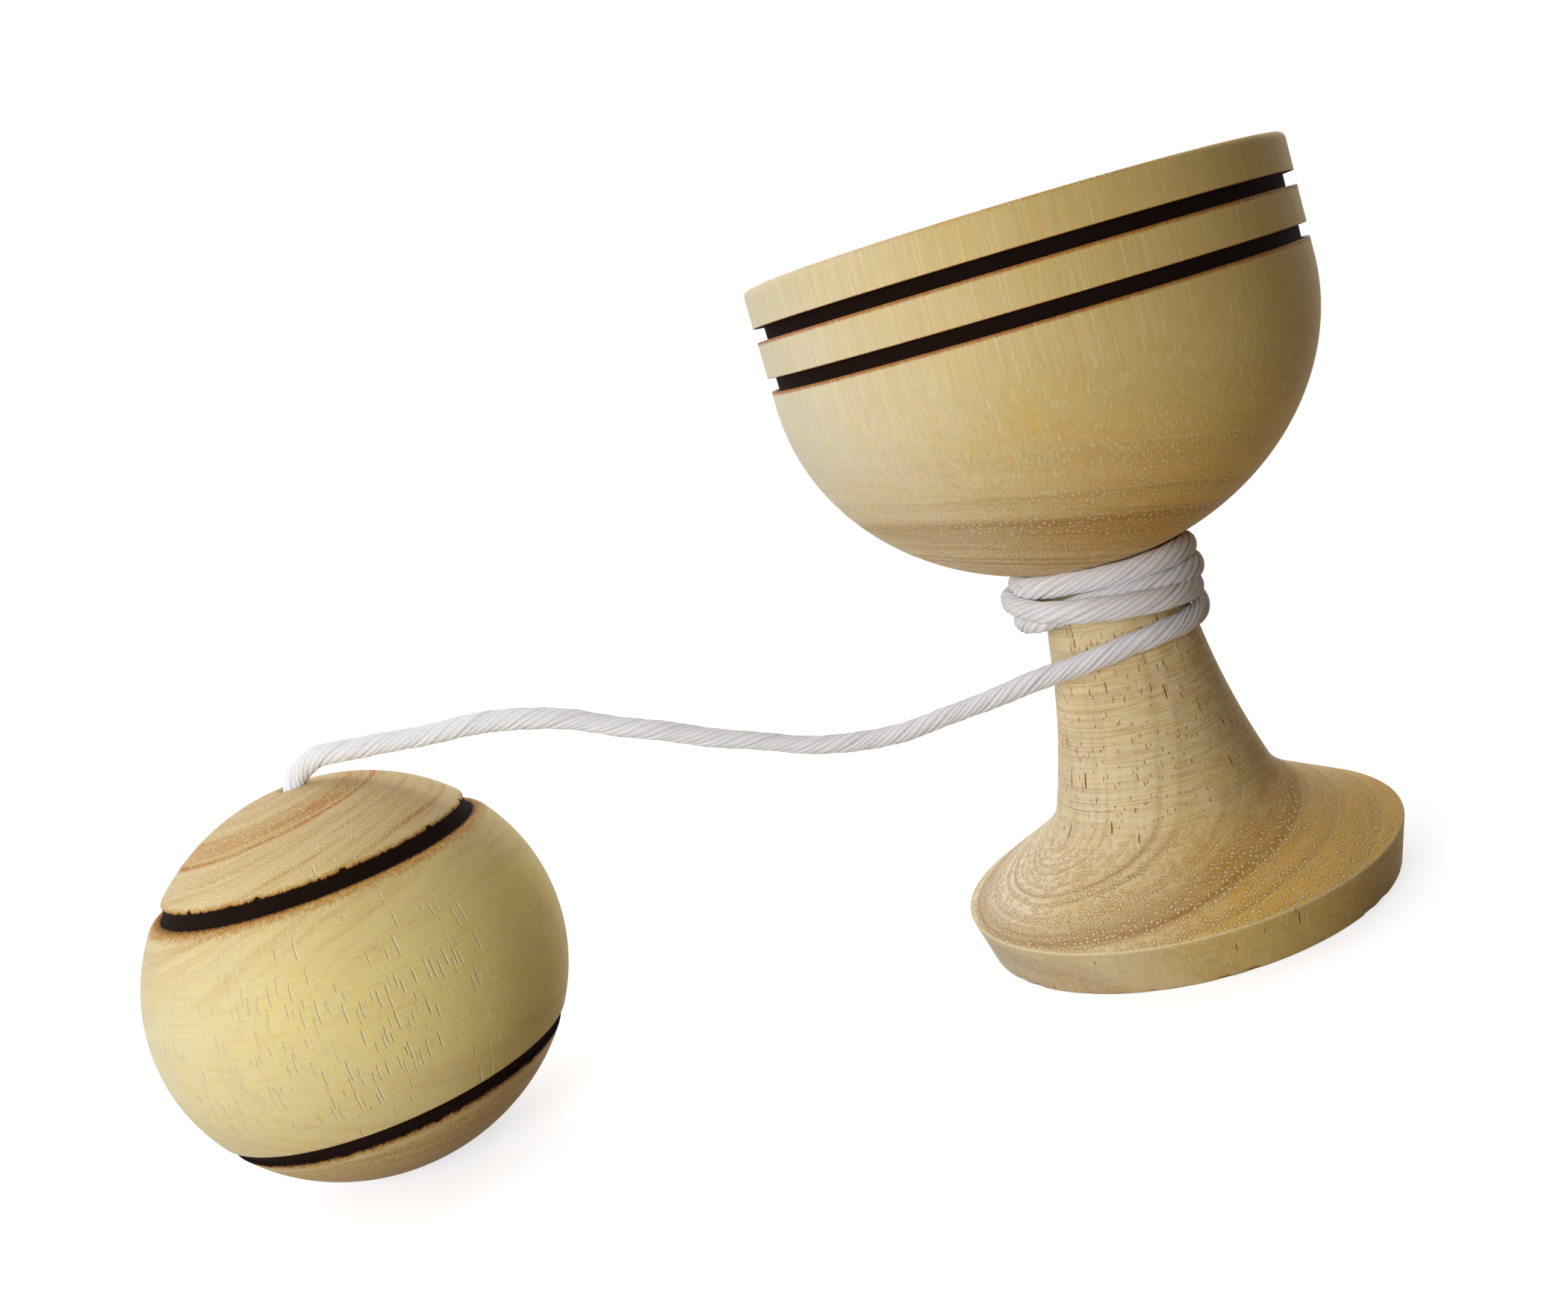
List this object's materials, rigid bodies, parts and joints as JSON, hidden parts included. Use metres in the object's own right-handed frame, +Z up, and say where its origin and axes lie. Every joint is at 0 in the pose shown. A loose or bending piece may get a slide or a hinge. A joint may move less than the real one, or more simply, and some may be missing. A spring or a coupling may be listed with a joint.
{
  "type": "cup and ball toy",
  "caption": "Turned wooden goblet with a flared foot and burnt rings; a cotton cord wound on its neck tethers a bored wooden ball that is swung up and caught in the cup.",
  "frame": {"origin": "middle of the goblet's foot, on the table that the goblet and the ball stand on", "axes": "+Z up along the goblet's axis; the ball lies towards -X; the picture is taken from -Y"},
  "size_m": [0.1447, 0.0704, 0.0818],
  "materials": {
    "goblet_wood": "turned bare pale hardwood, sanded, with burnt ring grooves",
    "ball_wood": "turned bare pale hardwood, with burnt ring grooves",
    "cotton_cord": "twisted white cotton cord"
  },
  "bodies": {
    "goblet": {"goblet": "goblet_wood"},
    "cord_wrap": {"neck_knot": "cotton_cord", "cord_winding": "cotton_cord", "cord_lead": "cotton_cord"},
    "cord_span": {"cord_span": "cotton_cord", "cord_in_ball": "cotton_cord", "stopper_knot": "cotton_cord"},
    "ball": {"ball": "ball_wood"}
  },
  "joints": [
    {"name": "cord_turn", "type": "hinge", "parent": "goblet", "child": "cord_wrap", "pos_m": [0, 0, 0.038], "axis": [0, 0, 1], "continuous": true},
    {"name": "ball_lift", "type": "hinge", "parent": "cord_wrap", "child": "cord_span", "pos_m": [-0.026, -0.0117, 0.0323], "axis": [-0.0797, 0.9968, 0], "range_deg": [0, 60]},
    {"name": "ball_spin", "type": "hinge", "parent": "cord_span", "child": "ball", "pos_m": [-0.09175, -0.0174, 0.02204], "axis": [0, 0, 1], "continuous": true}
  ]
}
